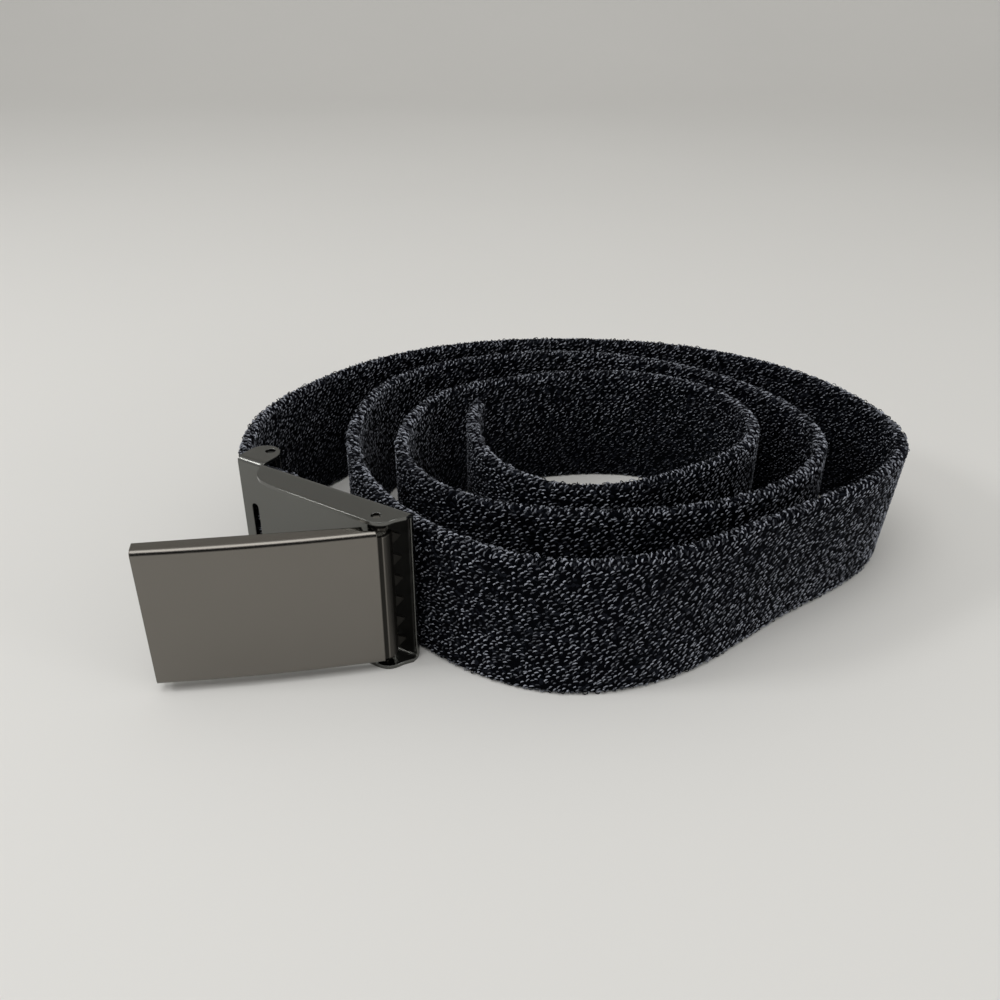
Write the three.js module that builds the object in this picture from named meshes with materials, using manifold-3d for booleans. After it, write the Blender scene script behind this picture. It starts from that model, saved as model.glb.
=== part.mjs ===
// Elastic stretch belt with a hinged metal clasp, lying on its edge in a loose coil.
// Millimetres, +Z up. The coil is about 200 wide, 150 deep and 43 high.
// Working frame: the coil's centre stands at the origin, +X to the right, +Y away from the clasp's cover.

import * as THREE from "three";
import Module from "manifold-3d";
import { mergeVertices } from "three/addons/utils/BufferGeometryUtils.js";

const wasm = await Module();
wasm.setup();

// Driving sizes of the webbing
const WEBBING = {
  height: 38,
  thickness: 4,
  selvedge: 1.3, // how far the rounding of each edge reaches up the face
  selvedgeInset: 0.9, // how much narrower the edge is on each face
  lean: 5.3, // how far the top leans outward at the front right
  leanBearing: 208,
  leanSpan: 44,
  step: 4.6, // length of one facet along the band
  heldPoints: 5, // guide points that keep the band straight in the clasp
  heldSpacing: 6,
  settleStart: 22, // where the band begins to sink from the clasp to the ground
  settleEnd: 100,
};

// Driving sizes of the coil
const COIL = {
  halfWidth: 100,
  firstBearing: 6,
  bearingStep: 30,
};

// Reach of the three turns from the coil's centre, as shares of its half width.
// Bearings run clockwise from the left, seen from above.
const TURNS = [
  { bearing: 6, outer: 0.917, middle: 0.649, inner: 0.488 },
  { bearing: 36, outer: 0.866, middle: 0.692, inner: 0.479 },
  { bearing: 66, outer: 0.779, middle: 0.637, inner: 0.407 },
  { bearing: 96, outer: 0.752, middle: 0.632, inner: 0.438 },
  { bearing: 126, outer: 0.848, middle: 0.648, inner: 0.532 },
  { bearing: 156, outer: 0.958, middle: 0.714, inner: 0.591 },
  { bearing: 186, outer: 1.022, middle: 0.771, inner: 0.567 },
  { bearing: 216, outer: 0.657, middle: 0.65, inner: 0.413 },
  { bearing: 246, outer: 0.712, middle: 0.528, inner: 0.375 },
  { bearing: 276, outer: 0.762, middle: 0.494, inner: 0.375 },
  { bearing: 306, outer: 0.686, middle: 0.525, inner: 0.326 },
  { bearing: 336, outer: 0.653, middle: 0.53, inner: 0.289 },
];
const SWING_IN = [
  { bearing: -15.5, reach: 0.917 },
  { bearing: -9.5, reach: 0.912 },
];
const FREE_END = [
  { bearing: 6, reach: 0.287 },
  { bearing: 36, reach: 0.345 },
  { bearing: 66, reach: 0.416 },
];

// Driving sizes of the clasp's base. Along runs from the hinge end, out from the plate's rear face.
const BASE = {
  length: 55.4,
  room: 1.5, // free height above and below the webbing, inside the folds
  sheet: 1,
  bend: 1.5,
  heading: 148.9,
  acrossShare: -0.403, // place of the hinge end, as shares of the coil's half width
  awayShare: -0.582,
  frontEarDepth: 8.9,
  rearEarWidth: 8.6,
  rearEarDepth: 8.4,
  rearHoleFromEnd: 5.1,
  rearHoleOut: -5.9,
  rearHoleRadius: 1.4,
  slotWidth: 2.2,
  slotLength: 17.4,
  slotFromEnd: 4.2,
};

// Depth of a front ear along its length, as shares of its length and depth
const EAR_OUTLINE = [
  { along: 0, depth: 0.3 },
  { along: 0.03, depth: 0.54 },
  { along: 0.049, depth: 0.75 },
  { along: 0.075, depth: 0.91 },
  { along: 0.118, depth: 0.99 },
  { along: 0.216, depth: 1 },
  { along: 0.443, depth: 0.972 },
  { along: 0.716, depth: 0.935 },
  { along: 0.86, depth: 0.831 },
  { along: 0.905, depth: 0.738 },
  { along: 0.935, depth: 0.629 },
  { along: 0.96, depth: 0.46 },
  { along: 1, depth: 0.12 },
];

// Driving sizes of the hinge. Its axis stands upright in the base's front ears.
const HINGE = {
  along: 6.35,
  out: 5.9,
  holeRadius: 1.3,
  pinRecess: 0.5, // how far each pin's end lies below the ear's outer face
  opening: 40.5, // how far the cover stands open, in degrees
};

// Driving sizes of the cover, given as it lies when it is shut
const COVER = {
  hingeEnd: 6.45,
  freeEnd: 61.4,
  faceOut: 9.9,
  arch: 0.8,
  sheet: 1,
  bend: 1.4,
  sideRoom: 1.4, // free height between the cover and the inside of each ear
  flangeFree: 3.9,
  flangeHinge: 3.2,
  tabRadius: 2.2,
  tabDown: 1.8, // how far the tab's shoulder lies below the face
  notchDown: 1.3,
  notchWidth: 1,
  corner: 0.4,
};

// Driving sizes of the rolled lip and its teeth
const LIP = {
  radius: 3.3,
  wrap: 75,
  run: 1.1,
  endGap: 0.5,
  teeth: 6,
  toothPitch: 6.1,
  toothWidth: 3.5,
  toothTip: 0.4,
  toothLength: 2.3,
  toothHeading: 205,
};

// Driving sizes of the hidden clamp behind the webbing's fixed end
const CLAMP = {
  barRadius: 1.9,
  jawLength: 7,
  jawThickness: 1.2,
  jawInset: 4, // how far the jaw stops short of each edge of the webbing
  endGap: 0.6,
  pinRecess: 0.5,
};

const CLEARANCE = 0.3;
const ROUND_SIDES = 28;
const OVERLAP = 0.4; // how far joined shapes reach into each other
const BEYOND = 1; // how far a cutting shape reaches past the sheet it cuts

// Sizes that follow from the ones above
const baseHeight = WEBBING.height + 2 * (BASE.room + BASE.sheet);
const rearEarStart = BASE.length - BASE.rearEarWidth;
const rearHoleAlong = BASE.length - BASE.rearHoleFromEnd;
const frontEarLength = rearEarStart + OVERLAP;
const coverLow = BASE.sheet + COVER.sideRoom;
const coverHeight = baseHeight - 2 * coverLow;

const SKINS = {
  webbing: { color: 0x2b2d38, roughness: 0.95, metalness: 0 },
  metal: { color: 0x6b6a66, roughness: 0.3, metalness: 1 },
};

const radians = THREE.MathUtils.degToRad;

// Solid helpers

function toSolid(geometry) {
  const bare = geometry.index ? geometry.toNonIndexed() : geometry;
  bare.deleteAttribute("normal");
  bare.deleteAttribute("uv");
  const merged = mergeVertices(bare, 1e-4);
  return new wasm.Manifold(new wasm.Mesh({
    numProp: 3,
    vertProperties: new Float32Array(merged.attributes.position.array),
    triVerts: new Uint32Array(merged.index.array),
  }));
}

function toGeometry(solid) {
  const mesh = solid.getMesh();
  const geometry = new THREE.BufferGeometry();
  geometry.setAttribute("position", new THREE.BufferAttribute(new Float32Array(mesh.vertProperties), 3));
  geometry.setIndex(new THREE.BufferAttribute(new Uint32Array(mesh.triVerts), 1));
  geometry.computeVertexNormals();
  return geometry;
}

function named(name, geometry, skin) {
  const mesh = new THREE.Mesh(geometry, new THREE.MeshStandardMaterial(skin));
  mesh.name = name;
  return mesh;
}

// Prism on a plan outline, from one height to another
function prism(shape, low, high) {
  const geometry = new THREE.ExtrudeGeometry(shape, {
    depth: high - low,
    bevelEnabled: false,
    curveSegments: 10,
  });
  geometry.translate(0, 0, low);
  return toSolid(geometry);
}

function uprightCylinder(x, y, radius, low, high) {
  const geometry = new THREE.CylinderGeometry(radius, radius, high - low, ROUND_SIDES);
  geometry.rotateX(Math.PI / 2);
  geometry.translate(x, y, (low + high) / 2);
  return toSolid(geometry);
}

// Sweeps a closed section along stations. A station is a plan point with a heading, a rise and a lean.
// A section point is an offset to the left of the heading and a height.
function sweep(outline, stations, leanHeight = 1) {
  const section = THREE.ShapeUtils.area(outline) > 0 ? outline : outline.slice().reverse();
  const sides = section.length;
  const positions = [];
  for (const station of stations) {
    const leftX = -Math.sin(station.heading);
    const leftY = Math.cos(station.heading);
    for (const point of section) {
      const offset = point.x + (station.lean ?? 0) * point.y / leanHeight;
      positions.push(station.x + leftX * offset, station.y + leftY * offset, point.y + (station.rise ?? 0));
    }
  }
  const faces = [];
  for (let row = 0; row < stations.length - 1; row += 1) {
    for (let side = 0; side < sides; side += 1) {
      const next = (side + 1) % sides;
      const here = row * sides;
      const ahead = here + sides;
      faces.push(here + side, here + next, ahead + side);
      faces.push(here + next, ahead + next, ahead + side);
    }
  }
  const lastRow = (stations.length - 1) * sides;
  for (const [a, b, c] of THREE.ShapeUtils.triangulateShape(section, [])) {
    faces.push(a, c, b);
    faces.push(lastRow + a, lastRow + b, lastRow + c);
  }
  const geometry = new THREE.BufferGeometry();
  geometry.setAttribute("position", new THREE.Float32BufferAttribute(positions, 3));
  geometry.setIndex(faces);
  return geometry;
}

// Section of a folded channel: an upright web at offset 0 and two flanges towards positive offsets
function channelSection(height, depth, sheet, bend) {
  const shape = new THREE.Shape();
  const inner = bend - sheet;
  shape.moveTo(depth, 0);
  shape.lineTo(depth, sheet);
  shape.lineTo(bend, sheet);
  shape.absarc(bend, bend, inner, -Math.PI / 2, -Math.PI, true);
  shape.lineTo(sheet, height - bend);
  shape.absarc(bend, height - bend, inner, Math.PI, Math.PI / 2, true);
  shape.lineTo(depth, height - sheet);
  shape.lineTo(depth, height);
  shape.lineTo(bend, height);
  shape.absarc(bend, height - bend, bend, Math.PI / 2, Math.PI, false);
  shape.lineTo(0, bend);
  shape.absarc(bend, bend, bend, Math.PI, Math.PI * 1.5, false);
  const points = shape.getPoints(4);
  return points.filter((point, i) => point.distanceTo(points[(i + 1) % points.length]) > 1e-4);
}

// Places of the webbing

// The clasp stands at the front left; its own frame has x along the base and y out towards the cover.
const claspPlace = new THREE.Matrix4()
  .makeRotationZ(radians(BASE.heading))
  .setPosition(BASE.acrossShare * COIL.halfWidth, BASE.awayShare * COIL.halfWidth, 0);

function polar(bearing, share) {
  const angle = radians(bearing);
  const reach = share * COIL.halfWidth;
  return new THREE.Vector2(-Math.cos(angle) * reach, Math.sin(angle) * reach);
}

// Guide points of the band: the straight stretch in the clamp, the swing into the coil and the turns
function guidePoints() {
  const bandOut = -CLEARANCE - WEBBING.thickness / 2;
  const guides = [];
  for (let i = WEBBING.heldPoints - 1; i >= 0; i -= 1) {
    const along = BASE.length - WEBBING.heldSpacing * i;
    const place = new THREE.Vector3(along, bandOut, 0).applyMatrix4(claspPlace);
    guides.push(new THREE.Vector2(place.x, place.y));
  }
  for (const row of SWING_IN) guides.push(polar(row.bearing, row.reach));
  const firstTurn = guides.length;
  for (const turn of ["outer", "middle", "inner"]) {
    for (const row of TURNS) guides.push(polar(row.bearing, row[turn]));
  }
  for (const row of FREE_END) guides.push(polar(row.bearing, row.reach));
  return { guides, firstTurn };
}

// Smooth cubic curve steered by the guide points, at a knot counted from the first guide
function splinePoint(guides, knot) {
  const start = Math.min(Math.floor(knot), guides.length - 3);
  const t = knot - start;
  const weights = [
    (1 - t) ** 3,
    3 * t ** 3 - 6 * t ** 2 + 4,
    -3 * t ** 3 + 3 * t ** 2 + 3 * t + 1,
    t ** 3,
  ];
  const point = new THREE.Vector2();
  weights.forEach((weight, i) => point.addScaledVector(guides[start - 1 + i], weight / 6));
  return point;
}

function leanAt(bearing) {
  const share = Math.abs(bearing - WEBBING.leanBearing) / WEBBING.leanSpan;
  return share < 1 ? WEBBING.lean * Math.cos(share * Math.PI / 2) ** 2 : 0;
}

// Stations evenly spaced along the band, from the clamp to the free end
function bandStations() {
  const { guides, firstTurn } = guidePoints();
  const lastKnot = guides.length - 2;
  const fine = [];
  let run = 0;
  for (let i = 0; i <= lastKnot * 60 - 60; i += 1) {
    const knot = 1 + i / 60;
    const point = splinePoint(guides, knot);
    if (i > 0) run += point.distanceTo(fine[i - 1].point);
    fine.push({ point, run, knot });
  }
  const count = Math.round(run / WEBBING.step);
  const clampRise = (baseHeight - WEBBING.height) / 2;
  const stations = [];
  let cursor = 0;
  for (let i = 0; i <= count; i += 1) {
    const target = run * i / count;
    while (cursor < fine.length - 2 && fine[cursor + 1].run < target) cursor += 1;
    const before = fine[cursor];
    const after = fine[cursor + 1];
    const share = (target - before.run) / (after.run - before.run);
    const point = before.point.clone().lerp(after.point, share);
    const travel = after.point.clone().sub(before.point);
    const bearing = COIL.firstBearing + COIL.bearingStep * (before.knot - firstTurn);
    const settled = THREE.MathUtils.smoothstep(target, WEBBING.settleStart, WEBBING.settleEnd);
    stations.push({
      x: point.x,
      y: point.y,
      heading: Math.atan2(travel.y, travel.x),
      rise: clampRise * (1 - settled),
      lean: leanAt(bearing),
    });
  }
  return stations;
}

// Webbing: one knitted band with slightly rounded edges, standing on its lower edge
function webbing() {
  const half = WEBBING.thickness / 2;
  const edge = half - WEBBING.selvedgeInset;
  const rim = WEBBING.selvedge;
  const top = WEBBING.height;
  const section = [
    new THREE.Vector2(-edge, 0),
    new THREE.Vector2(edge, 0),
    new THREE.Vector2(half, rim),
    new THREE.Vector2(half, top - rim),
    new THREE.Vector2(edge, top),
    new THREE.Vector2(-edge, top),
    new THREE.Vector2(-half, top - rim),
    new THREE.Vector2(-half, rim),
  ];
  return named("webbing", sweep(section, bandStations(), WEBBING.height), SKINS.webbing);
}

// Base plate: a folded channel with shaped ears in front and short ears behind

function frontEarOutline() {
  const shape = new THREE.Shape();
  const points = EAR_OUTLINE.map((row) => new THREE.Vector2(
    row.along * frontEarLength,
    row.depth * BASE.frontEarDepth,
  ));
  shape.moveTo(0, -OVERLAP);
  shape.lineTo(points[0].x, points[0].y);
  shape.splineThru(points.slice(1));
  shape.lineTo(frontEarLength, -OVERLAP);
  return shape;
}

function rearEarOutline() {
  const shape = new THREE.Shape();
  const radius = BASE.rearEarWidth / 2;
  const turn = radius - BASE.rearEarDepth;
  shape.moveTo(rearEarStart, BASE.sheet + OVERLAP);
  shape.lineTo(rearEarStart, turn);
  shape.absarc(rearEarStart + radius, turn, radius, Math.PI, 2 * Math.PI, false);
  shape.lineTo(BASE.length, BASE.sheet + OVERLAP);
  return shape;
}

function slotOutline() {
  const shape = new THREE.Shape();
  const radius = BASE.slotWidth / 2;
  const reach = BASE.slotLength / 2 - radius;
  const middle = BASE.length - BASE.slotFromEnd;
  shape.moveTo(middle + radius, baseHeight / 2 - reach);
  shape.absarc(middle, baseHeight / 2 + reach, radius, 0, Math.PI, false);
  shape.absarc(middle, baseHeight / 2 - reach, radius, Math.PI, 2 * Math.PI, false);
  return shape;
}

// Prism on a plan outline that reaches past the base above and below
function throughPrism(shape) {
  return prism(shape, -BEYOND, baseHeight + BEYOND);
}

function throughHole(x, y, radius) {
  return uprightCylinder(x, y, radius, -BEYOND, baseHeight + BEYOND);
}

function basePlate() {
  const straight = (from, to) => [
    { x: from, y: 0, heading: 0 },
    { x: to, y: 0, heading: 0 },
  ];
  const frontReach = BASE.frontEarDepth + BEYOND;
  const rearReach = BASE.rearEarDepth + BASE.sheet + BEYOND;
  const frontSection = channelSection(baseHeight, frontReach, BASE.sheet, BASE.bend);
  const rearSection = channelSection(baseHeight, rearReach, BASE.sheet, BASE.bend)
    .map((point) => new THREE.Vector2(BASE.sheet - point.x, point.y));
  const front = toSolid(sweep(frontSection, straight(0, frontEarLength)))
    .intersect(throughPrism(frontEarOutline()));
  const rear = toSolid(sweep(rearSection, straight(rearEarStart, BASE.length)))
    .intersect(throughPrism(rearEarOutline()));
  const slot = new THREE.ExtrudeGeometry(slotOutline(), {
    depth: BASE.sheet + 2 * BEYOND,
    bevelEnabled: false,
    curveSegments: 8,
  });
  slot.rotateX(Math.PI / 2);
  slot.translate(0, BASE.sheet + BEYOND, 0);
  const solid = front
    .add(rear)
    .subtract(throughHole(HINGE.along, HINGE.out, HINGE.holeRadius))
    .subtract(throughHole(rearHoleAlong, BASE.rearHoleOut, BASE.rearHoleRadius))
    .subtract(toSolid(slot));
  return named("base_plate", toGeometry(solid), SKINS.metal);
}

// Cover plate, made shut and about the hinge axis, so that a turn about the axis opens it

function coverOutline() {
  const shape = new THREE.Shape();
  const beyond = COVER.faceOut + COVER.arch + BEYOND;
  const tabStart = HINGE.along - COVER.tabRadius;
  const tabStop = HINGE.along + COVER.tabRadius;
  const tabTop = COVER.faceOut - COVER.tabDown;
  const notchTop = COVER.faceOut - COVER.notchDown;
  const flangeStop = tabStop + COVER.notchWidth;
  shape.moveTo(COVER.freeEnd, beyond);
  shape.lineTo(COVER.freeEnd, COVER.faceOut - COVER.flangeFree);
  shape.lineTo(flangeStop + COVER.corner, COVER.faceOut - COVER.flangeHinge);
  shape.lineTo(flangeStop, notchTop);
  shape.lineTo(tabStop, notchTop);
  shape.lineTo(tabStop, HINGE.out);
  shape.absarc(HINGE.along, HINGE.out, COVER.tabRadius, 0, -Math.PI, true);
  shape.lineTo(tabStart, tabTop - COVER.corner);
  shape.lineTo(tabStart + COVER.corner, tabTop);
  shape.lineTo(COVER.hingeEnd, tabTop);
  shape.lineTo(COVER.hingeEnd, beyond);
  return shape;
}

function coverTray() {
  const section = channelSection(coverHeight, COVER.faceOut, COVER.sheet, COVER.bend)
    .map((point) => new THREE.Vector2(-point.x, point.y));
  const start = HINGE.along - COVER.tabRadius - BEYOND;
  const span = COVER.freeEnd - COVER.hingeEnd;
  const stations = [];
  const steps = 14;
  for (let i = 0; i <= steps; i += 1) {
    const x = start + (COVER.freeEnd + BEYOND - start) * i / steps;
    const share = THREE.MathUtils.clamp((x - COVER.hingeEnd) / span, 0, 1);
    stations.push({
      x,
      y: COVER.faceOut + COVER.arch * 4 * share * (1 - share),
      heading: 0,
      rise: coverLow,
    });
  }
  return toSolid(sweep(section, stations)).intersect(throughPrism(coverOutline()));
}

// Lip: the cover's sheet rolled over towards the base, with a flared row of teeth
function lipEnd() {
  const turn = radians(90 + LIP.wrap);
  const heading = radians(180 + LIP.wrap);
  return {
    x: COVER.hingeEnd + LIP.radius * Math.cos(turn) + LIP.run * Math.cos(heading),
    y: COVER.faceOut - LIP.radius + LIP.radius * Math.sin(turn) + LIP.run * Math.sin(heading),
    heading,
  };
}

function lip() {
  const low = coverLow + COVER.sheet + LIP.endGap;
  const high = baseHeight - low;
  const section = [
    new THREE.Vector2(0, low),
    new THREE.Vector2(0, high),
    new THREE.Vector2(COVER.sheet, high),
    new THREE.Vector2(COVER.sheet, low),
  ];
  const stations = [{ x: COVER.hingeEnd + OVERLAP, y: COVER.faceOut, heading: Math.PI }];
  const steps = 8;
  for (let i = 0; i <= steps; i += 1) {
    const turn = radians(LIP.wrap * i / steps);
    stations.push({
      x: COVER.hingeEnd - LIP.radius * Math.sin(turn),
      y: COVER.faceOut - LIP.radius + LIP.radius * Math.cos(turn),
      heading: Math.PI + turn,
    });
  }
  stations.push(lipEnd());
  return toSolid(sweep(section, stations));
}

function tooth(middle) {
  const shape = new THREE.Shape();
  const half = LIP.toothWidth / 2;
  const halfTip = LIP.toothTip / 2;
  const root = -COVER.sheet;
  const tip = LIP.toothLength;
  shape.moveTo(root, -half);
  shape.lineTo(0, -half);
  shape.quadraticCurveTo(tip / 2, -half / 2, tip, -halfTip);
  shape.lineTo(tip, halfTip);
  shape.quadraticCurveTo(tip / 2, half / 2, 0, half);
  shape.lineTo(root, half);
  const geometry = new THREE.ExtrudeGeometry(shape, {
    depth: COVER.sheet,
    bevelEnabled: false,
    curveSegments: 4,
  });
  const end = lipEnd();
  const heading = radians(LIP.toothHeading);
  const along = new THREE.Vector3(Math.cos(heading), Math.sin(heading), 0);
  const up = new THREE.Vector3(0, 0, 1);
  const inward = new THREE.Vector3().crossVectors(along, up).negate();
  const place = new THREE.Matrix4().makeBasis(along, up.clone().negate(), inward);
  place.setPosition(end.x, end.y, middle);
  geometry.applyMatrix4(place);
  return toSolid(geometry);
}

function coverPlate() {
  let solid = coverTray().add(lip());
  const firstTooth = baseHeight / 2 - LIP.toothPitch * (LIP.teeth - 1) / 2;
  for (let i = 0; i < LIP.teeth; i += 1) {
    solid = solid.add(tooth(firstTooth + LIP.toothPitch * i));
  }
  const pinRadius = HINGE.holeRadius - CLEARANCE;
  const pinRoot = coverLow + COVER.sheet / 2;
  solid = solid
    .add(uprightCylinder(HINGE.along, HINGE.out, pinRadius, HINGE.pinRecess, pinRoot))
    .add(uprightCylinder(
      HINGE.along,
      HINGE.out,
      pinRadius,
      baseHeight - pinRoot,
      baseHeight - HINGE.pinRecess,
    ));
  const geometry = toGeometry(solid);
  geometry.translate(-HINGE.along, -HINGE.out, 0);
  return named("cover_plate", geometry, SKINS.metal);
}

// End clamp: a plain bar with a flat jaw on the webbing and stub pins in the rear ears
function endClamp() {
  const low = BASE.sheet + CLAMP.endGap;
  const high = baseHeight - low;
  const jawFace = -CLEARANCE - WEBBING.thickness - CLEARANCE;
  const jaw = new THREE.Shape();
  jaw.moveTo(rearHoleAlong, jawFace);
  jaw.lineTo(rearHoleAlong - CLAMP.jawLength, jawFace);
  jaw.lineTo(rearHoleAlong - CLAMP.jawLength, jawFace - CLAMP.jawThickness);
  jaw.lineTo(rearHoleAlong, jawFace - CLAMP.jawThickness);
  const barOut = jawFace - CLAMP.barRadius;
  const pinRadius = BASE.rearHoleRadius - CLEARANCE;
  const jawLow = (baseHeight - WEBBING.height) / 2 + CLAMP.jawInset;
  const solid = prism(jaw, jawLow, baseHeight - jawLow)
    .add(uprightCylinder(rearHoleAlong, barOut, CLAMP.barRadius, low, high))
    .add(uprightCylinder(
      rearHoleAlong,
      BASE.rearHoleOut,
      pinRadius,
      CLAMP.pinRecess,
      baseHeight - CLAMP.pinRecess,
    ));
  return named("end_clamp", toGeometry(solid), SKINS.metal);
}

// The clasp, with its cover standing open about the hinge
function clasp() {
  const group = new THREE.Group();
  group.rotation.z = radians(BASE.heading);
  group.position.set(BASE.acrossShare * COIL.halfWidth, BASE.awayShare * COIL.halfWidth, 0);
  const hinge = new THREE.Group();
  hinge.position.set(HINGE.along, HINGE.out, 0);
  hinge.rotation.z = radians(HINGE.opening);
  hinge.add(coverPlate());
  group.add(basePlate(), endClamp(), hinge);
  return group;
}

const belt = new THREE.Group();
belt.add(webbing(), clasp());
belt.updateMatrixWorld(true);

// The origin is the middle of the underside of the whole belt
const box = new THREE.Box3().setFromObject(belt, true);
belt.position.set(-(box.min.x + box.max.x) / 2, -(box.min.y + box.max.y) / 2, -box.min.z);

export default belt;
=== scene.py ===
"""Dresses an elastic stretch belt: a heathered knit band in a loose coil, with a hinged gunmetal clasp.

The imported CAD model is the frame. The clasp's metal pieces stay and get their finishes. The plain band is
replaced with a knitted one that follows the same coil: a dark ground, raised pale stitches and fuzzy edges.
Lengths are in metres and angles in degrees unless a name or a comment says otherwise.
"""

import logging
import math
from dataclasses import dataclass, field
from enum import Enum

import bpy
import numpy as np
from mathutils import Matrix

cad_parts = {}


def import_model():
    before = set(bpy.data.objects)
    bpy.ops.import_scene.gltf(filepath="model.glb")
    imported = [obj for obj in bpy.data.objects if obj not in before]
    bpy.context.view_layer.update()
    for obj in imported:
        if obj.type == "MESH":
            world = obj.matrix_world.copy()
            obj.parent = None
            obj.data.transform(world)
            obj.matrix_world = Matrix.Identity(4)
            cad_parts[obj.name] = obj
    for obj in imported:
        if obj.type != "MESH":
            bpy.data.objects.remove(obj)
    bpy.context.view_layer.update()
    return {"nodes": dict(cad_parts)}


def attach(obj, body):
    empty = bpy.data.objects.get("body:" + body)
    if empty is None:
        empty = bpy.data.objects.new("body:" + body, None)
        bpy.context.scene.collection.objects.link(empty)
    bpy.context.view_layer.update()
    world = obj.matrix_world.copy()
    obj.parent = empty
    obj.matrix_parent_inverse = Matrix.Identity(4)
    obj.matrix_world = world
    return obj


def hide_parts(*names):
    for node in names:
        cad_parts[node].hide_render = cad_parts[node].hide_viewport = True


log = logging.getLogger("belt")
MM = 0.001
Triple = tuple[float, float, float]


class Body(Enum):
    """The CAD body that new pieces ride on. The cover's own node rides on its body already."""

    BELT = "belt"


class Slot(Enum):
    """The record's material slot for the webbing. Nothing in the script reads it."""

    WEBBING = "webbing"


# Shader helpers


class Value:
    """One output socket of a material, on which arithmetic adds Math nodes."""

    def __init__(self, book: "NodeBook", socket: bpy.types.NodeSocket) -> None:
        """Wraps a socket of a material that a NodeBook builds."""
        self.book = book
        self.socket = socket

    def _math(self, operation: str, first: object, second: object) -> "Value":
        """Adds one Math node and returns its result."""
        return self.book.node("ShaderNodeMath", {"operation": operation}, {0: first, 1: second})

    def __add__(self, other: object) -> "Value":
        """Sum."""
        return self._math("ADD", self, other)

    __radd__ = __add__

    def __mul__(self, other: object) -> "Value":
        """Product."""
        return self._math("MULTIPLY", self, other)

    __rmul__ = __mul__

    def __sub__(self, other: object) -> "Value":
        """Difference."""
        return self._math("SUBTRACT", self, other)

    def __rsub__(self, other: object) -> "Value":
        """Difference with this value taken away."""
        return self._math("SUBTRACT", other, self)

    def over(self, limit: float) -> "Value":
        """1 where the value is greater than a limit, otherwise 0."""
        return self._math("GREATER_THAN", self, limit)

    def within(self, low: float, high: float) -> "Value":
        """The value, kept between two limits."""
        return self._math("MINIMUM", self._math("MAXIMUM", self, low), high)


class NodeBook:
    """Builds one material's nodes."""

    def __init__(self, name: str) -> None:
        """Makes an empty node material with its output and its main shader."""
        self.material = bpy.data.materials.new(name)
        self.material.use_nodes = True
        self.tree = self.material.node_tree
        self.tree.nodes.clear()
        self.shader = self.tree.nodes.new("ShaderNodeBsdfPrincipled")
        output = self.tree.nodes.new("ShaderNodeOutputMaterial")
        self.tree.links.new(self.shader.outputs["BSDF"], output.inputs["Surface"])

    def node(
        self,
        kind: str,
        settings: dict[str, object],
        sockets: dict[object, object],
        output: object = 0,
    ) -> Value:
        """Adds a node of any kind.

        Args:
            kind: the node's type name.
            settings: attributes of the node.
            sockets: values or Values by socket name or index.
            output: the name or index of the output to return.

        Returns:
            The chosen output as a Value.
        """
        made = self.tree.nodes.new(kind)
        for key, setting in settings.items():
            setattr(made, key, setting)
        for key, value in sockets.items():
            self._fill(made.inputs[key], value)
        return Value(self, made.outputs[output])

    def _fill(self, socket: bpy.types.NodeSocket, value: object) -> None:
        """Links a Value to a socket, or sets the socket to a plain number or colour."""
        if isinstance(value, Value):
            self.tree.links.new(value.socket, socket)
        elif isinstance(value, tuple) and len(value) == 3 and socket.type == "RGBA":
            socket.default_value = (*value, 1.0)
        else:
            socket.default_value = value

    def mix(self, share: object, first: object, second: object) -> Value:
        """Mixes two colours: the first where the share is 0, the second where it is 1."""
        return self.node(
            "ShaderNodeMix",
            {"data_type": "RGBA"},
            {0: share, 6: first, 7: second},
            output=2,
        )

    def attribute(self, name: str, output: str = "Fac") -> Value:
        """Reads a mesh attribute."""
        return self.node("ShaderNodeAttribute", {"attribute_name": name}, {}, output)

    def place(self) -> Value:
        """The point's Object coordinates."""
        return self.node("ShaderNodeTexCoord", {}, {}, "Object")

    def noise(self, vector: Value, scale: float, detail: float) -> Value:
        """Smooth noise of so many waves to a unit of the vector."""
        return self.node("ShaderNodeTexNoise", {}, {"Vector": vector, "Scale": scale, "Detail": detail})

    def bump(
        self, height: Value, strength: float, distance: float, normal: Value | None = None
    ) -> Value:
        """Turns a height into a normal, on top of another normal if one is given."""
        sockets = {"Strength": strength, "Distance": distance, "Height": height}
        if normal is not None:
            sockets["Normal"] = normal
        return self.node("ShaderNodeBump", {}, sockets)

    def dress(self, **sockets: object) -> bpy.types.Material:
        """Sets the main shader's sockets, with underscores for the spaces in their names.

        Args:
            sockets: a Value or a plain number or colour by socket name.

        Returns:
            The finished material.
        """
        for name, value in sockets.items():
            self._fill(self.shader.inputs[name.replace("_", " ")], value)
        return self.material


@dataclass(frozen=True)
class YarnFinish:
    """Knitting yarn whose shade goes from near-black navy to pale grey."""

    name: str
    dark: Triple
    pale: Triple
    roughness: float = 0.85
    specular: float = 0.06
    fibres_per_metre: float = 9000.0
    fibre_bump: float = 0.35
    fibre_height: float = 0.1 * MM

    def make(self) -> bpy.types.Material:
        """Returns the material. The attribute "shade" is 0 on dark yarn and 1 on pale yarn, and holds
        painted shade too.
        """
        book = NodeBook(self.name)
        shade = book.attribute("shade")
        fibres = book.noise(book.place(), self.fibres_per_metre, 3.0)
        tint = shade * (0.5 + fibres)
        return book.dress(
            Base_Color=book.mix(tint, self.dark, self.pale),
            Roughness=self.roughness,
            Specular_IOR_Level=self.specular,
            Normal=book.bump(fibres, self.fibre_bump, self.fibre_height),
        )


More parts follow.
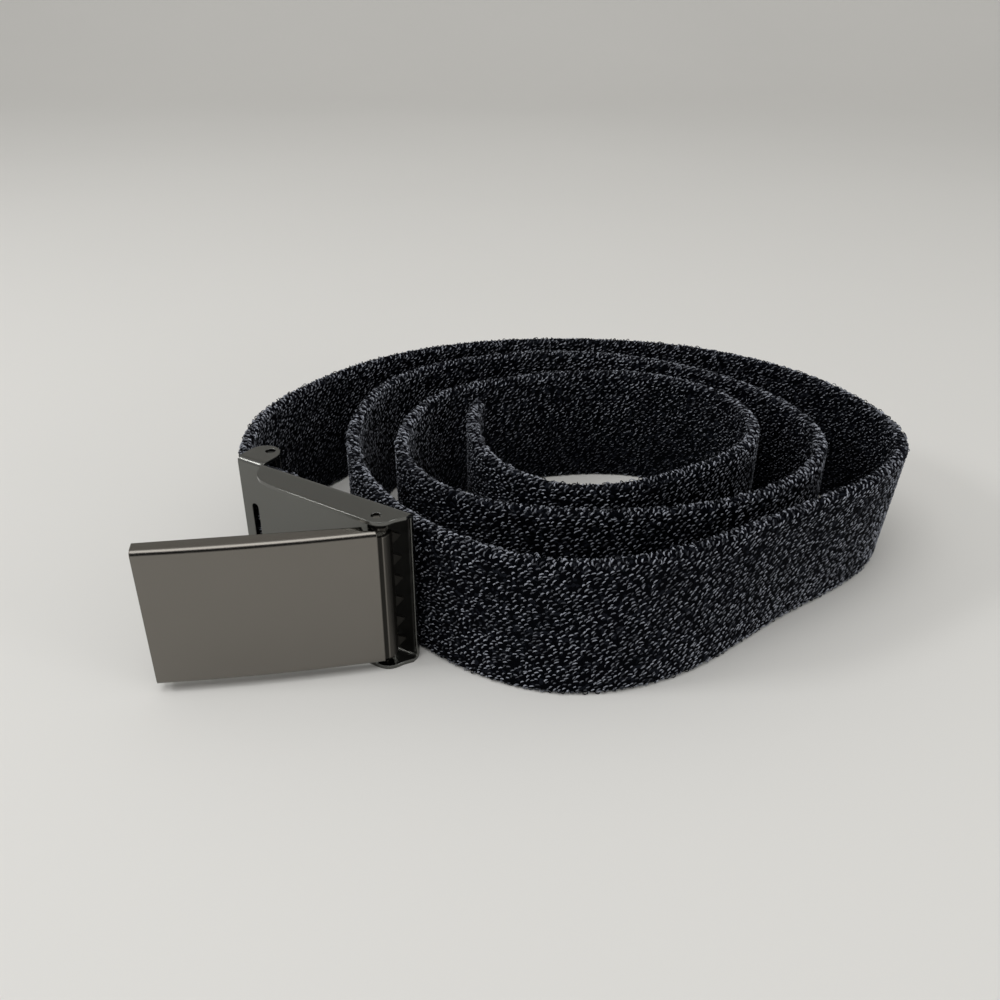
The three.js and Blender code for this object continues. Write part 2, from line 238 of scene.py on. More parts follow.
@dataclass(frozen=True)
class KnitGroundFinish:
    """The dark ground between the stitches, a small pebbled knit."""

    name: str
    deep: Triple
    light: Triple
    roughness: float = 0.9
    specular: float = 0.03
    loops_per_mm: float = 1.1
    fibres_per_mm: float = 6.0
    heathered_above: float = 0.8
    loop_bump: float = 0.8
    loop_height: float = 0.5 * MM

    def make(self) -> bpy.types.Material:
        """Returns the material.

        The attribute "weave" is the place on the band, in mm along it and round it.
        """
        book = NodeBook(self.name)
        weave = book.attribute("weave", "Vector")
        cells = {"Vector": weave, "Scale": self.loops_per_mm, "Randomness": 0.75}
        loop = book.node("ShaderNodeTexVoronoi", {"feature": "F1"}, cells, "Distance")
        tone = book.node("ShaderNodeTexVoronoi", {"feature": "F1"}, cells, "Color")
        heather = book.node("ShaderNodeSeparateColor", {}, {"Color": tone}, "Red")
        fibres = book.noise(weave, self.fibres_per_mm, 3.0)
        picked = heather.over(self.heathered_above) * fibres
        return book.dress(
            Base_Color=book.mix(picked, self.deep, self.light),
            Roughness=self.roughness,
            Specular_IOR_Level=self.specular,
            Normal=book.bump(1.0 - loop + 0.25 * fibres, self.loop_bump, self.loop_height),
        )


@dataclass(frozen=True)
class RecessShade:
    """A deep inner part of a plate, where the plating is rougher and painted shade darkens its colour.

    It starts at a point of the plan, runs along a heading for its length, and fades in and out. It leaves
    out the plate's top and bottom. Its strength is the share of the painted shade's tone.
    """

    start: tuple[float, float]
    heading: float
    fade: float
    length: float = 20 * MM
    strength: float = 0.9
    plate_height: float = 43 * MM
    margin: float = 1.6 * MM
    # The painted shade's colour.
    tone: Triple = (0.006, 0.006, 0.005)
    dulling: float = 0.4

    def share(self, book: NodeBook, place: Value) -> Value:
        """How far a place takes the recess's painted shade and roughness.

        Args:
            book: the material's nodes.
            place: the point's Object coordinates.

        Returns:
            A share from 0 to the recess's strength.
        """
        turned = math.radians(self.heading)
        direction = (math.cos(turned), math.sin(turned), 0.0)
        offset = sum(part * way for part, way in zip(self.start, direction))
        along = book.node(
            "ShaderNodeVectorMath", {"operation": "DOT_PRODUCT"}, {0: place, 1: direction}, "Value"
        )
        reach = along - offset
        level = book.node("ShaderNodeSeparateXYZ", {}, {0: place}, "Z")
        inside = level.over(self.margin) * (self.plate_height - level).over(self.margin)
        start = (reach * (1 / self.fade)).within(0.0, 1.0)
        end = ((self.length - reach) * (1 / self.fade)).within(0.0, 1.0)
        return start * end * inside * self.strength


@dataclass(frozen=True)
class SheetMetalFinish:
    """Thin gunmetal sheet with fine rubbed marks and slightly rounded, brighter edges."""

    name: str
    tone: Triple
    worn: Triple
    roughness: float = 0.13
    edge_radius: float = 0.4 * MM
    # Painted shade in the plate's deep places, which also makes them rougher.
    recess_shades: tuple[RecessShade, ...] = ()
    clouds_per_metre: float = 45.0
    rubbed_waves: Triple = (220.0, 220.0, 5200.0)
    specks_per_metre: float = 1500.0
    specks_above: float = 0.74
    rubbed_bump: float = 0.04
    rubbed_height: float = 0.05 * MM

    def make(self) -> bpy.types.Material:
        """Returns the material, which reads Object coordinates."""
        book = NodeBook(self.name)
        place = book.place()
        cloud = book.noise(place, self.clouds_per_metre, 4.0)
        grain = book.node("ShaderNodeMapping", {}, {"Vector": place, "Scale": self.rubbed_waves})
        rubbed = book.noise(grain, 1.0, 2.0)
        specks = book.noise(place, self.specks_per_metre, 1.0).over(self.specks_above)
        rounded = book.node("ShaderNodeBevel", {"samples": 6}, {"Radius": self.edge_radius}, "Normal")
        rough = self.roughness + 0.1 * cloud + 0.03 * rubbed
        colour = book.mix(cloud * 0.5 + specks * 0.15, self.tone, self.worn)
        for recess in self.recess_shades:
            # Painted shade: each recess darkens the colour towards its tone. The same share also makes the
            # plating rougher.
            shade_and_dulling = recess.share(book, place)
            colour = book.mix(shade_and_dulling, colour, recess.tone)
            rough = rough + recess.dulling * shade_and_dulling
        return book.dress(
            Base_Color=colour,
            Metallic=1.0,
            Roughness=rough,
            Normal=book.bump(rubbed, self.rubbed_bump, self.rubbed_height, rounded),
        )


@dataclass(frozen=True)
class PlainFinish:
    """A matt surface for the floor and the card."""

    name: str
    tone: Triple
    roughness: float = 0.7
    specular: float = 0.2
    clouds_per_metre: float = 2.2
    cloud_tone: float = 0.93

    def make(self) -> bpy.types.Material:
        """Returns the material, with a faint cloudiness."""
        book = NodeBook(self.name)
        cloud = book.noise(book.place(), self.clouds_per_metre, 3.0)
        darker = tuple(self.cloud_tone * part for part in self.tone)
        return book.dress(
            Base_Color=book.mix(cloud, darker, self.tone),
            Roughness=self.roughness,
            Specular_IOR_Level=self.specular,
        )


# Mesh helpers


def signed_volume(points: np.ndarray, faces: np.ndarray) -> float:
    """Volume of a closed triangle mesh, positive where its faces point outwards."""
    a, b, c = (points[faces[:, i]] for i in range(3))
    return float(np.einsum("ij,ij->i", a, np.cross(b, c)).sum() / 6.0)


def mesh_piece(
    name: str,
    points: np.ndarray,
    faces: np.ndarray,
    attributes: dict[str, np.ndarray],
    material: bpy.types.Material,
) -> bpy.types.Object:
    """Puts a smooth-shaded triangle mesh into the scene, with its faces outwards.

    Args:
        name: the piece's name.
        points: vertex places, one row each.
        faces: vertex numbers, three to a row.
        attributes: numbers or vectors for each vertex, by name.
        material: the finish.

    Returns:
        The new object, which stands at the origin.
    """
    if signed_volume(points, faces) < 0:
        faces = faces[:, ::-1]
    mesh = bpy.data.meshes.new(name)
    mesh.vertices.add(len(points))
    mesh.vertices.foreach_set("co", points.astype(np.float32).ravel())
    mesh.loops.add(faces.size)
    mesh.loops.foreach_set("vertex_index", faces.astype(np.int32).ravel())
    mesh.polygons.add(len(faces))
    mesh.polygons.foreach_set("loop_start", np.arange(0, faces.size, 3, dtype=np.int32))
    mesh.polygons.foreach_set("use_smooth", np.full(len(faces), True))
    mesh.update(calc_edges=True)
    for key, values in attributes.items():
        kind, field_name = ("FLOAT", "value") if values.ndim == 1 else ("FLOAT_VECTOR", "vector")
        layer = mesh.attributes.new(key, kind, "POINT")
        layer.data.foreach_set(field_name, values.astype(np.float32).ravel())
    mesh.materials.append(material)
    piece = bpy.data.objects.new(name, mesh)
    bpy.context.scene.collection.objects.link(piece)
    return piece


def grid_faces(rows: int, columns: int, wrap: bool) -> np.ndarray:
    """Triangles of a grid of vertices whose columns may close on themselves.

    Args:
        rows: number of rows of vertices.
        columns: number of vertices in a row.
        wrap: whether the last column joins the first.

    Returns:
        Vertex numbers, three to a row.
    """
    across = columns if wrap else columns - 1
    row, column = np.meshgrid(np.arange(rows - 1), np.arange(across), indexing="ij")
    here = row * columns + column
    beside = row * columns + (column + 1) % columns
    ahead, corner = here + columns, beside + columns
    lower = np.stack([here, beside, ahead], axis=-1).reshape(-1, 3)
    upper = np.stack([beside, corner, ahead], axis=-1).reshape(-1, 3)
    return np.vstack([lower, upper])


# The band's coil


@dataclass
class CoilPath:
    """The band's way round the coil, the same as the CAD band's.

    It is a uniform cubic B-spline. Its guide points are the straight stretch in the clasp, the swing into
    the coil, and one point for each bearing of each turn, given as reach from the coil's centre.
    """

    centre: tuple[float, float] = (3.1149 * MM, -1.1358 * MM)
    half_width: float = 100 * MM
    first_bearing: float = 6.0
    bearing_step: float = 30.0
    outer: tuple[float, ...] = (
        0.917, 0.866, 0.779, 0.752, 0.848, 0.958, 1.022, 0.657, 0.712, 0.762, 0.686, 0.653
    )  # fmt: skip
    middle: tuple[float, ...] = (
        0.649, 0.692, 0.637, 0.632, 0.648, 0.714, 0.771, 0.65, 0.528, 0.494, 0.525, 0.53
    )  # fmt: skip
    inner: tuple[float, ...] = (
        0.488, 0.479, 0.407, 0.438, 0.532, 0.591, 0.567, 0.413, 0.375, 0.375, 0.326, 0.289
    )  # fmt: skip
    swing_in: tuple[tuple[float, float], ...] = ((-15.5, 0.917), (-9.5, 0.912))
    free_end: tuple[tuple[float, float], ...] = ((6.0, 0.287), (36.0, 0.345), (66.0, 0.416))
    clasp_at: tuple[float, float] = (-0.403, -0.582)
    clasp_heading: float = 148.9
    clasp_length: float = 55.4 * MM
    held_points: int = 5
    held_spacing: float = 6 * MM
    behind_plate: float = 2.3 * MM
    clasp_rise: float = 2.5 * MM
    settle_start: float = 22 * MM
    settle_end: float = 100 * MM
    lean: float = 5.3 * MM
    lean_bearing: float = 208.0
    lean_span: float = 44.0
    samples_a_knot: int = 60
    run: np.ndarray = field(init=False)
    plan: np.ndarray = field(init=False)
    heading: np.ndarray = field(init=False)
    bearing: np.ndarray = field(init=False)

    def __post_init__(self) -> None:
        """Works out the centre line as a fine table of points."""
        guides, first_turn = self._guides()
        last_knot = len(guides) - 2
        knots = 1 + np.arange((last_knot - 1) * self.samples_a_knot + 1) / self.samples_a_knot
        start = np.minimum(np.floor(knots).astype(int), len(guides) - 3)
        t = knots - start
        weights = np.stack(
            [(1 - t) ** 3, 3 * t**3 - 6 * t**2 + 4, -3 * t**3 + 3 * t**2 + 3 * t + 1, t**3]
        )
        near = np.stack([guides[start - 1 + i] for i in range(4)])
        self.plan = np.einsum("ik,ikc->kc", weights, near) / 6
        steps = np.linalg.norm(np.diff(self.plan, axis=0), axis=1)
        self.run = np.concatenate([[0.0], np.cumsum(steps)])
        travel = np.gradient(self.plan, axis=0)
        self.heading = np.unwrap(np.arctan2(travel[:, 1], travel[:, 0]))
        self.bearing = self.first_bearing + self.bearing_step * (knots - first_turn)

    def _polar(self, bearings: np.ndarray, reaches: np.ndarray) -> np.ndarray:
        """Points at bearings that run clockwise from the left, as seen from above."""
        angle = np.radians(bearings)
        around = np.stack([-np.cos(angle), np.sin(angle)], axis=1)
        return around * reaches[:, None] * self.half_width

    def _guides(self) -> tuple[np.ndarray, int]:
        """Returns the guide points and the number of the first one of the turns."""
        heading = math.radians(self.clasp_heading)
        along = np.array([math.cos(heading), math.sin(heading)])
        out = np.array([-along[1], along[0]])
        start = np.array(self.clasp_at) * self.half_width
        back = self.clasp_length - self.held_spacing * np.arange(self.held_points)[::-1]
        held = start + back[:, None] * along - self.behind_plate * out
        swing = self._polar(*np.array(self.swing_in).T)
        bearings = self.first_bearing + self.bearing_step * np.arange(len(self.outer))
        turns = [self._polar(bearings, np.array(turn)) for turn in (self.outer, self.middle, self.inner)]
        guides = np.vstack([held, swing, *turns, self._polar(*np.array(self.free_end).T)])
        return guides + np.array(self.centre), len(held) + len(swing)

    @property
    def length(self) -> float:
        """Length of the whole band."""
        return float(self.run[-1])

    @property
    def outer_run(self) -> float:
        """Distance along the band to the end of its outer turn."""
        last_bearing = self.first_bearing + self.bearing_step * len(self.outer)
        return float(np.interp(last_bearing, self.bearing, self.run))

    def at(self, run: np.ndarray) -> tuple[np.ndarray, ...]:
        """Where the band stands at distances along it.

        Args:
            run: distances from the end in the clasp.

        Returns:
            Its plan place x and y, heading, rise above the ground and lean.
        """
        x = np.interp(run, self.run, self.plan[:, 0])
        y = np.interp(run, self.run, self.plan[:, 1])
        heading = np.interp(run, self.run, self.heading)
        bearing = np.interp(run, self.run, self.bearing)
        settled = np.clip((run - self.settle_start) / (self.settle_end - self.settle_start), 0, 1)
        rise = self.clasp_rise * (1 - settled**2 * (3 - 2 * settled))
        share = np.clip(np.abs(bearing - self.lean_bearing) / self.lean_span, 0, 1)
        lean = self.lean * np.cos(share * math.pi / 2) ** 2
        return x, y, heading, rise, lean


@dataclass
class BandSection:
    """The band's cross-section, a slim rectangle with rounded corners standing on its short side.

    Round it, a place is the distance from the middle of the underside, up the left face, over the top and
    down the right face.
    """

    height: float = 38 * MM
    thickness: float = 4 * MM
    inset: float = 0.3 * MM
    corner: float = 1.3 * MM
    corner_step: float = 5.0
    table: np.ndarray = field(init=False)

    def __post_init__(self) -> None:
        """Walks round the section: straight runs, and quarter circles about the corners' centres."""
        side = self.thickness / 2 - self.inset - self.corner
        low, high = self.inset + self.corner, self.height - self.inset - self.corner
        turn = np.radians(np.arange(0, 91, self.corner_step))
        corners = [(side, low, -90), (side, high, 0), (-side, high, 90), (-side, low, 180)]
        rows = [np.array([[0.0, low - self.corner, math.radians(-90)]])]
        for offset, level, first in corners:
            normal = turn + math.radians(first)
            outer_offset = offset + self.corner * np.cos(normal)
            outer_level = level + self.corner * np.sin(normal)
            rows.append(np.stack([outer_offset, outer_level, normal], axis=1))
        rows.append(np.array([[0.0, low - self.corner, math.radians(270)]]))
        walk = np.vstack(rows)
        steps = np.hypot(*np.diff(walk[:, :2], axis=0).T)
        distance = np.concatenate([[0.0], np.cumsum(steps)])
        self.table = np.column_stack([distance, walk])

    @property
    def around(self) -> float:
        """Distance all the way round."""
        return float(self.table[-1, 0])

    @property
    def top(self) -> float:
        """Place round the section of the middle of the top edge."""
        return self.around / 2

    def at(self, place: np.ndarray) -> tuple[np.ndarray, np.ndarray, np.ndarray]:
        """Offset to the left, level and the outward normal's angle in radians, at places round it."""
        distance, offset, level, normal = self.table.T
        place = place % self.around
        return (
            np.interp(place, distance, offset),
            np.interp(place, distance, level),
            np.interp(place, distance, normal),
        )


# The knitted band

# A stitch's eight corners: a tip, two rings of three corners, and the other tip. The columns are the places
# along, across and above the stitch, as shares of its length, width and height.
SPINDLE = np.array(
    [
        [-0.5, -0.75, -0.35],
        [-0.2, 0.6, -0.15],
        [-0.2, 0.2, 1.0],
        [-0.2, -0.4, -0.15],
        [0.2, 0.7, -0.15],
        [0.2, 0.15, 1.0],
        [0.2, -0.3, -0.15],
        [0.5, -0.35, -0.35],
    ]
)
SPINDLE_FACES = np.array(
    [
        [0, 1, 2], [0, 2, 3], [0, 3, 1],
        [1, 4, 5], [1, 5, 2], [2, 5, 6], [2, 6, 3], [3, 6, 4], [3, 4, 1],
        [7, 5, 4], [7, 6, 5], [7, 4, 6],
    ]
)  # fmt: skip


@dataclass
class KnitBand:
    """The elastic band: a dark ground, pale raised stitches in slanting rows, and fuzz on the edges.

    A scatter is the spread of a normal draw: of a stitch's column and row and a loop's run as shares of
    their pitch, of a stitch's slope in degrees, and of a loop's place round the section in metres. An edge
    figure is what a stitch on a rounded edge has above one on a face.
    """

    path: CoilPath = field(default_factory=CoilPath)
    section: BandSection = field(default_factory=BandSection)
    ground_finish: KnitGroundFinish = KnitGroundFinish(
        "knit_ground_yarn", deep=(0.001, 0.0013, 0.0024), light=(0.014, 0.016, 0.022)
    )
    yarn_finish: YarnFinish = YarnFinish(
        "heathered_yarn", dark=(0.0015, 0.002, 0.004), pale=(0.37, 0.39, 0.445)
    )
    ground_step: float = 2.2 * MM
    ground_pitch: float = 1.3 * MM
    stitch_along: float = 1.75 * MM
    stitch_round: float = 0.93 * MM
    stitch_length: float = 1.45 * MM
    stitch_width: float = 0.38 * MM
    stitch_height: float = 0.23 * MM
    stitch_slope: float = 30.0
    row_shift: float = 0.45
    column_scatter: float = 0.19
    row_scatter: float = 0.2
    slope_scatter: float = 15.0
    edge_slope: float = 34.0
    edge_length: float = 0.1
    edge_width: float = 0.15
    edge_height: float = 0.5
    dropped: float = 0.12
    drift_share: float = 0.1
    # Painted shade: the share of a stitch's tone left at the floor, where it faces another turn.
    hidden_shade: float = 0.14
    end_margin: float = 1.0 * MM
    floor_gap: float = 0.2 * MM
    stretches: int = 4
    fuzz_along: float = 2.2 * MM
    fuzz_offsets: tuple[float, ...] = (-1.5 * MM, 0.0, 1.5 * MM)
    fuzz_run_scatter: float = 0.3
    fuzz_place_scatter: float = 0.3 * MM
    fuzz_turn: float = 0.7
    fuzz_span: float = 1.3 * MM
    fuzz_reach: float = 0.5 * MM
    fuzz_thickness: float = 0.3 * MM
    fuzz_rings: int = 5
    fuzz_pale: float = 0.35
    fuzz_dark_shade: float = 0.03
    seed: int = 38

    def surface(self, run: np.ndarray, place: np.ndarray, lift: np.ndarray) -> np.ndarray:
        """Points on the band.

        The centre line gives the plan place; the section's offset lies to the left of the heading, with
        the lean growing with level; the lift goes along the section's normal.

        Args:
            run: distance along the band.
            place: distance round the section.
            lift: height above the ground's surface.

        Returns:
            Points, with x, y and z in the last axis. Those near or below the floor are eased up over it.
        """
        x, y, heading, rise, lean = self.path.at(run)
        offset, level, normal = self.section.at(place)
        level = level + lift * np.sin(normal)
        offset = offset + lift * np.cos(normal) + lean * level / self.section.height
        across = np.stack([x - np.sin(heading) * offset, y + np.cos(heading) * offset], axis=-1)
        height = level + rise
        sunk = np.minimum(height / self.floor_gap, 1.0)
        height = np.where(sunk < 1.0, self.floor_gap * np.exp(sunk - 1.0), height)
        return np.concatenate([across, height[..., None]], axis=-1)

    def ground(self, material: bpy.types.Material) -> bpy.types.Object:
        """The closed dark band: rings of the section along the path, with a cap at each end."""
        rings = int(self.path.length / self.ground_step)
        sides = int(self.section.around / self.ground_pitch)
        run, place = np.meshgrid(
            np.linspace(self.section.inset, self.path.length - self.section.inset, rings),
            np.arange(sides) / sides * self.section.around,
            indexing="ij",
        )
        points = self.surface(run, place, np.zeros_like(run)).reshape(-1, 3)
        faces = grid_faces(rings, sides, wrap=True)
        weave = np.stack([run / MM, place / MM, np.zeros_like(run)], axis=-1).reshape(-1, 3)
        middles = np.stack([points[:sides].mean(axis=0), points[-sides:].mean(axis=0)])
        side = np.arange(sides)
        beside = (side + 1) % sides
        last = (rings - 1) * sides
        first_cap = np.stack([np.full(sides, len(points)), beside, side], axis=1)
        last_cap = np.stack([np.full(sides, len(points) + 1), last + side, last + beside], axis=1)
        points = np.vstack([points, middles])
        weave = np.vstack([weave, weave[[0, last]]])
        return mesh_piece(
            "knit_ground", points, np.vstack([faces, first_cap, last_cap]), {"weave": weave}, material
        )

    def stitch_seats(self, rng: np.random.Generator) -> dict[str, np.ndarray]:
        """Places of the pale stitches: a slanted brick pattern with a little disorder.

        Stitches on the edges are steeper and larger. Those that face another turn get darker towards the
        floor, where little light comes between the turns.

        Args:
            rng: the source of the disorder.

        Returns:
            For each stitch its run, place, slope in radians, length, width, height and shade.
        """
        columns = int(self.path.length / self.stitch_along)
        rows = int(self.section.around / self.stitch_round)
        column, row = np.meshgrid(np.arange(columns), np.arange(rows), indexing="ij")
        column, row = column.ravel(), row.ravel()
        count = len(row)
        shift = (row * self.row_shift) % 1.0
        run = (column + 0.5 + shift + rng.normal(0, self.column_scatter, count)) * self.stitch_along
        place = (row + 0.5 + rng.normal(0, self.row_scatter, count)) * self.stitch_round
        _, level, normal = self.section.at(place)
        edge = np.abs(np.sin(normal))
        kept = (run > self.end_margin) & (run < self.path.length - self.end_margin)
        kept &= rng.random(count) > self.dropped
        height = np.clip(level / self.section.height, 0, 1)
        # Painted shade in the stitches' colour, darker towards the floor between the turns.
        faces_a_turn = (np.cos(normal) < 0) | (run > self.path.outer_run)
        lit = np.where(faces_a_turn, 1 - (1 - self.hidden_shade) * (1 - height), 1.0)[kept]
        run, place, edge = run[kept], place[kept], edge[kept]
        count = len(run)
        drift = 1 + self.drift_share * self._drift(rng, columns)[column[kept]]
        drift = drift + self.drift_share * self._drift(rng, rows)[row[kept]]
        slope = self.stitch_slope + self.edge_slope * edge + rng.normal(0, self.slope_scatter, count)
        return {
            "run": run,
            "place": place,
            "slope": np.radians(slope),
            "length": self.stitch_length * rng.uniform(0.7, 1.2, count) * (1 + self.edge_length * edge),
            "width": self.stitch_width * rng.uniform(0.75, 1.25, count) * (1 + self.edge_width * edge),
            "height": self.stitch_height * rng.uniform(0.7, 1.1, count) * (1 + self.edge_height * edge),
            "shade": np.clip((0.12 + 0.88 * rng.random(count) ** 1.3) * drift, 0.02, 1.2) * lit,
        }

    def _drift(self, rng: np.random.Generator, count: int) -> np.ndarray:
        """A slow wander of about one unit: random numbers averaged over nine neighbours."""
        loose = rng.normal(0, 1, count + 8)
        return np.convolve(loose, np.ones(9) / 3, mode="valid")

    def stitches(
        self, name: str, seats: dict[str, np.ndarray], material: bpy.types.Material
    ) -> bpy.types.Object:
        """Raised stitches, each a bent spindle: two sunk tips and two three-cornered rings between them.

        Args:
            name: the piece's name.
            seats: the stitches' places and sizes.
            material: the yarn.

        Returns:
            One piece with all these stitches.
        """
        along, across, lift = SPINDLE.T
        corners = len(SPINDLE)
        count = len(seats["run"])
        forth = along[None, :] * seats["length"][:, None]
        aside = across[None, :] * seats["width"][:, None]
        cosine, sine = np.cos(seats["slope"])[:, None], np.sin(seats["slope"])[:, None]
        run = seats["run"][:, None] - forth * cosine + aside * sine
        place = seats["place"][:, None] + forth * sine + aside * cosine
        points = self.surface(run, place, lift[None, :] * seats["height"][:, None]).reshape(-1, 3)
        faces = (np.arange(count)[:, None, None] * corners + SPINDLE_FACES[None]).reshape(-1, 3)
        shade = np.repeat(seats["shade"], corners)
        return mesh_piece(name, points, faces, {"shade": shade}, material)

    def edge_fuzz(self, rng: np.random.Generator, material: bpy.types.Material) -> bpy.types.Object:
        """Small loose loops that stand out of both edges.

        Each is half a turn of a three-sided tube: its way along and its lift follow a cosine and a sine.

        Args:
            rng: the source of the disorder.
            material: the yarn.

        Returns:
            One piece with all the loops.
        """
        edges = np.array([0.0, self.section.top])[:, None] + np.array(self.fuzz_offsets)
        lines = edges.ravel() % self.section.around
        first, margin = 1.5 * self.end_margin, 2 * self.end_margin
        each = int((self.path.length - 2 * first) / self.fuzz_along)
        count = each * len(lines)
        run = first + np.tile((np.arange(each) + 0.5) * self.fuzz_along, len(lines))
        run = run + rng.normal(0, self.fuzz_run_scatter, count) * self.fuzz_along
        run = np.clip(run, margin, self.path.length - margin)
        place = np.repeat(lines, each) + rng.normal(0, self.fuzz_place_scatter, count)
        turn = rng.normal(self.fuzz_turn, self.fuzz_turn, count)
        span = self.fuzz_span * rng.uniform(0.6, 1.1, count) / 2
        reach = self.fuzz_reach * rng.uniform(0.4, 1.2, count)
        bend = np.linspace(0, math.pi, self.fuzz_rings)
        corner = np.radians([90, 210, 330])
        radius = self.fuzz_thickness / 2
        forth = (span[:, None] * np.cos(bend))[:, :, None] + radius * np.cos(bend)[:, None] * np.sin(corner)
        lift = (reach[:, None] * np.sin(bend))[:, :, None] + radius * np.sin(bend)[:, None] * np.sin(corner)
        aside = np.broadcast_to(radius * np.cos(corner), forth.shape)
        cosine, sine = np.cos(turn)[:, None, None], np.sin(turn)[:, None, None]
        points = self.surface(
            run[:, None, None] - forth * cosine + aside * sine,
            place[:, None, None] + forth * sine + aside * cosine,
            lift,
        ).reshape(-1, 3)
        sides = len(corner)
        corners = self.fuzz_rings * sides
        caps = np.array([[0, 2, 1], [corners - 3, corners - 2, corners - 1]])
        tube = np.vstack([grid_faces(self.fuzz_rings, sides, wrap=True), caps])
        faces = (np.arange(count)[:, None, None] * corners + tube[None]).reshape(-1, 3)
        pale = rng.random(count) < self.fuzz_pale
        shade = np.where(pale, rng.uniform(0.15, 0.9, count), self.fuzz_dark_shade)
        return mesh_piece("edge_fuzz", points, faces, {"shade": np.repeat(shade, corners)}, material)

    def build(self) -> list[bpy.types.Object]:
        """Makes the band's pieces, which ride on the belt and stand for the CAD band."""
        rng = np.random.default_rng(self.seed)
        ground = self.ground_finish.make()
        yarn = self.yarn_finish.make()
        pieces = [self.ground(ground)]
        seats = self.stitch_seats(rng)
        stretch = seats["run"] / self.path.length * self.stretches
        stretch = np.minimum(stretch, self.stretches - 1).astype(int)
        for number in range(self.stretches):
            chosen = {key: values[stretch == number] for key, values in seats.items()}
            pieces.append(self.stitches(f"knit_stitches_{number + 1}", chosen, yarn))
        pieces.append(self.edge_fuzz(rng, yarn))
        for piece in pieces:
            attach(piece, Body.BELT.value)
            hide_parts("webbing")
        return pieces


@dataclass
class Clasp:
    """The clasp's metal pieces, which stay as the CAD gives them and get their finishes.

    The base's recess is the fold behind its front ears, darkened with painted shade. The cover's painted
    shade makes a dark line beside its face, a dimmer rolled lip and a dark toothed mouth.
    """

    base: SheetMetalFinish = SheetMetalFinish(
        "gunmetal_base",
        (0.138, 0.139, 0.131),
        (0.165, 0.166, 0.156),
        recess_shades=(
            # Painted shade in the fold behind the front ears, which face the dark lip.
            RecessShade(
                (-43.7 * MM, -55.4 * MM), heading=-31.1, fade=0.8 * MM, length=7.3 * MM, strength=0.95
            ),
        ),
    )
    cover: SheetMetalFinish = SheetMetalFinish(
        "gunmetal_cover",
        (0.18, 0.169, 0.152),
        (0.213, 0.2, 0.182),
        roughness=0.15,
        recess_shades=(
            # Painted shade by the hinge: a dark line beside the face, a dimmer rolled lip, then the dark
            # toothed mouth.
            RecessShade((-45.6 * MM, -64.8 * MM), heading=35.0, fade=0.3 * MM, length=1.4 * MM, strength=0.88),
            RecessShade((-44.5 * MM, -64.0 * MM), heading=35.0, fade=0.3 * MM, length=2.0 * MM, strength=0.65),
            RecessShade((-43.4 * MM, -63.3 * MM), heading=35.0, fade=0.8 * MM),
        ),
    )
    clamp: SheetMetalFinish = SheetMetalFinish(
        "gunmetal_clamp", (0.06, 0.06, 0.057), (0.09, 0.09, 0.085)
    )

    def dress(self, nodes: dict[str, bpy.types.Object]) -> list[bpy.types.Object]:
        """Gives each metal node its finish.

        Args:
            nodes: the CAD nodes by name.

        Returns:
            The dressed nodes.
        """
        finishes = {"base_plate": self.base, "cover_plate": self.cover, "end_clamp": self.clamp}
        for name, finish in finishes.items():
            nodes[name].material_slots[0].material = finish.make()
        return [nodes[name] for name in finishes]


@dataclass(frozen=True)
class SoftLight:
    """A soft square light of a width in metres and a power in watts, which faces a point."""

    name: str
    place: Triple
    aim: Triple
    width: float
    power: float

    def build(self) -> None:
        """Adds the light, turned so that its back looks away from its aim."""
        data = bpy.data.lights.new(self.name, "AREA")
        data.shape = "SQUARE"
        data.size = self.width
        data.energy = self.power
        lamp = bpy.data.objects.new(self.name, data)
        bpy.context.scene.collection.objects.link(lamp)
        forward = np.array(self.aim) - np.array(self.place)
        backward = -forward / np.linalg.norm(forward)
        side = np.cross([0.0, 1.0, 0.01], backward)
        side /= np.linalg.norm(side)
        upward = np.cross(backward, side)
        turned = np.eye(4)
        turned[:3, :3] = np.stack([side, upward, backward], axis=1)
        turned[:3, 3] = self.place
        lamp.matrix_world = Matrix(turned.tolist())


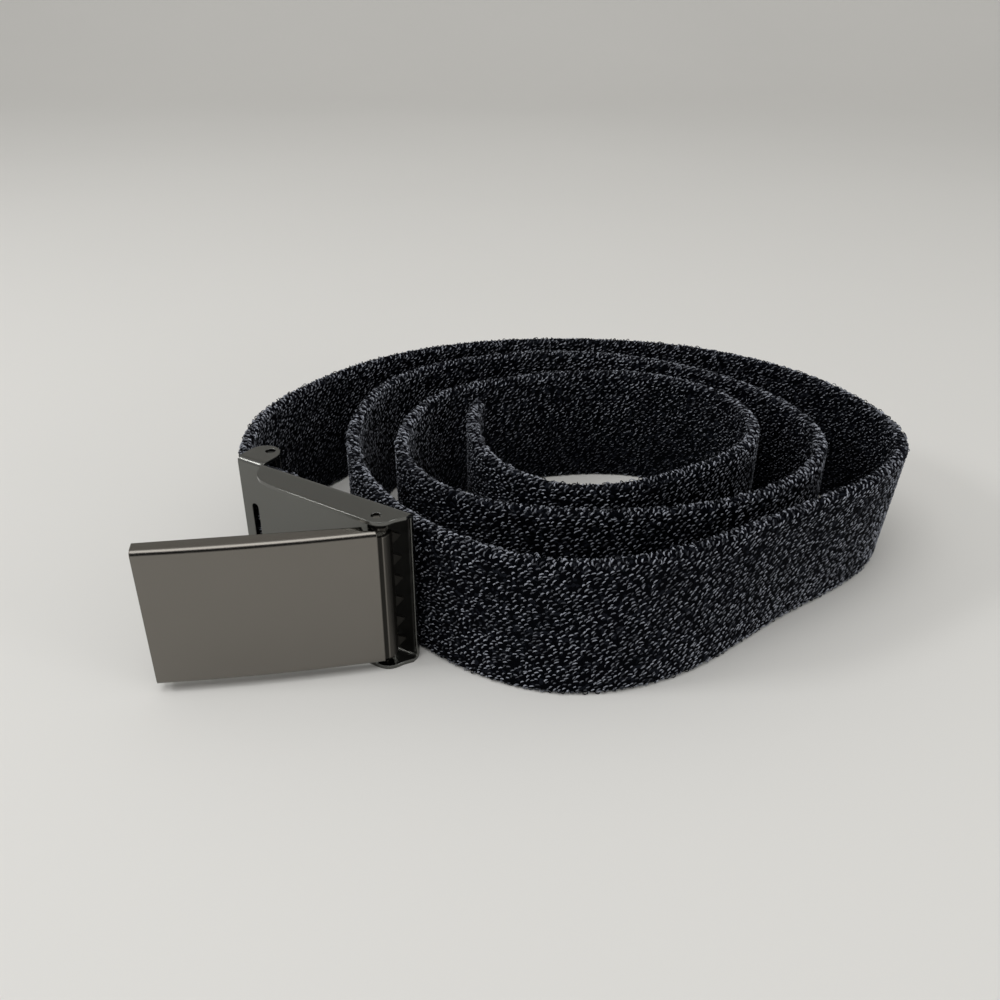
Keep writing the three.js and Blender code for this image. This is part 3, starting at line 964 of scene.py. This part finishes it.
@dataclass
class Studio:
    """A plain pale sweep of floor and backdrop under soft light."""

    floor_tone: Triple = (0.76, 0.755, 0.733)
    half_width: float = 2.5
    front: float = -1.5
    back: float = 1.0
    curve: float = 1.0
    top: float = 3.0
    world_tone: Triple = (1.0, 0.985, 0.96)
    world_strength: float = 0.57
    card_tone: Triple = (0.02, 0.02, 0.022)
    card_sides: tuple[float, float] = (-0.42, 0.3)
    card_levels: tuple[float, float] = (0.03, 0.75)
    card_front: float = -0.7
    lights: tuple[SoftLight, ...] = (
        SoftLight("soft_top", (-0.2, -0.35, 1.05), (0.0, 0.0, 0.0), width=0.8, power=4.3),
        SoftLight("soft_right", (0.8, -0.5, 0.22), (0.0, 0.0, 0.03), width=0.35, power=1.7),
        SoftLight("soft_left", (-0.85, -0.18, 0.66), (-0.06, -0.05, 0.04), width=0.2, power=2.3),
    )

    def sweep(self) -> None:
        """The floor, which turns up into the backdrop by a quarter circle."""
        turn = np.linspace(0, math.pi / 2, 16)
        curve = self.back + self.curve * np.sin(turn)
        depth = np.concatenate([[self.front], curve, [self.back + self.curve]])
        height = np.concatenate([[0.0], self.curve * (1 - np.cos(turn)), [self.top]])
        side = np.array([-self.half_width, self.half_width])
        x, y = np.meshgrid(side, depth, indexing="ij")
        points = np.stack([x, y, np.broadcast_to(height, x.shape)], axis=-1).reshape(-1, 3)
        finish = PlainFinish("studio_floor", self.floor_tone).make()
        floor = mesh_piece("studio_sweep", points, grid_faces(2, len(depth), wrap=False), {}, finish)

    def dark_card(self) -> None:
        """An upright dark card behind the camera, which the camera doesn't see but the metal reflects."""
        x, z = np.meshgrid(np.array(self.card_sides), np.array(self.card_levels), indexing="ij")
        points = np.stack([x, np.full_like(x, self.card_front), z], axis=-1).reshape(-1, 3)
        finish = PlainFinish("dark_card", self.card_tone, roughness=1.0).make()
        card = mesh_piece("dark_card", points, grid_faces(2, 2, wrap=False), {}, finish)
        card.visible_camera = False

    def build(self) -> None:
        """Makes the floor, the lights and the even glow of the room."""
        self.sweep()
        self.dark_card()
        for light in self.lights:
            light.build()
        world = bpy.data.worlds.new("room")
        world.use_nodes = True
        glow = world.node_tree.nodes["Background"]
        glow.inputs["Color"].default_value = (*self.world_tone, 1.0)
        glow.inputs["Strength"].default_value = self.world_strength
        bpy.context.scene.world = world
        bpy.context.scene.view_settings.view_transform = "Standard"


@dataclass
class PhotoCamera:
    """The camera, solved from the photograph's upright and level edges."""

    place: Triple = (-0.0168851, -0.2511358, 0.1553)
    tilt: float = 60.38
    roll: float = 0.36
    lens_mm: float = 34.2
    sensor_mm: float = 36.0
    nearest: float = 0.01

    def build(self) -> None:
        """Makes the camera and sets it as the scene's."""
        data = bpy.data.cameras.new("photo_camera")
        data.lens = self.lens_mm
        data.sensor_width = self.sensor_mm
        data.clip_start = self.nearest
        camera = bpy.data.objects.new("photo_camera", data)
        bpy.context.scene.collection.objects.link(camera)
        turned = Matrix.Rotation(math.radians(self.tilt), 4, "X") @ Matrix.Rotation(
            math.radians(self.roll), 4, "Z"
        )
        camera.matrix_world = Matrix.Translation(self.place) @ turned
        bpy.context.scene.camera = camera


def report(pieces: list[bpy.types.Object]) -> None:
    """Logs each piece's number of faces."""
    for piece in pieces:
        log.info("%s: %d faces", piece.name, len(piece.data.polygons))


def main() -> None:
    """Builds the belt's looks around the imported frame."""
    logging.basicConfig(level=logging.INFO, format="%(name)s %(message)s")
    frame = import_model()
    PhotoCamera().build()
    Studio().build()
    report(KnitBand().build())
    report(Clasp().dress(frame["nodes"]))


if __name__ == "__main__":
    main()
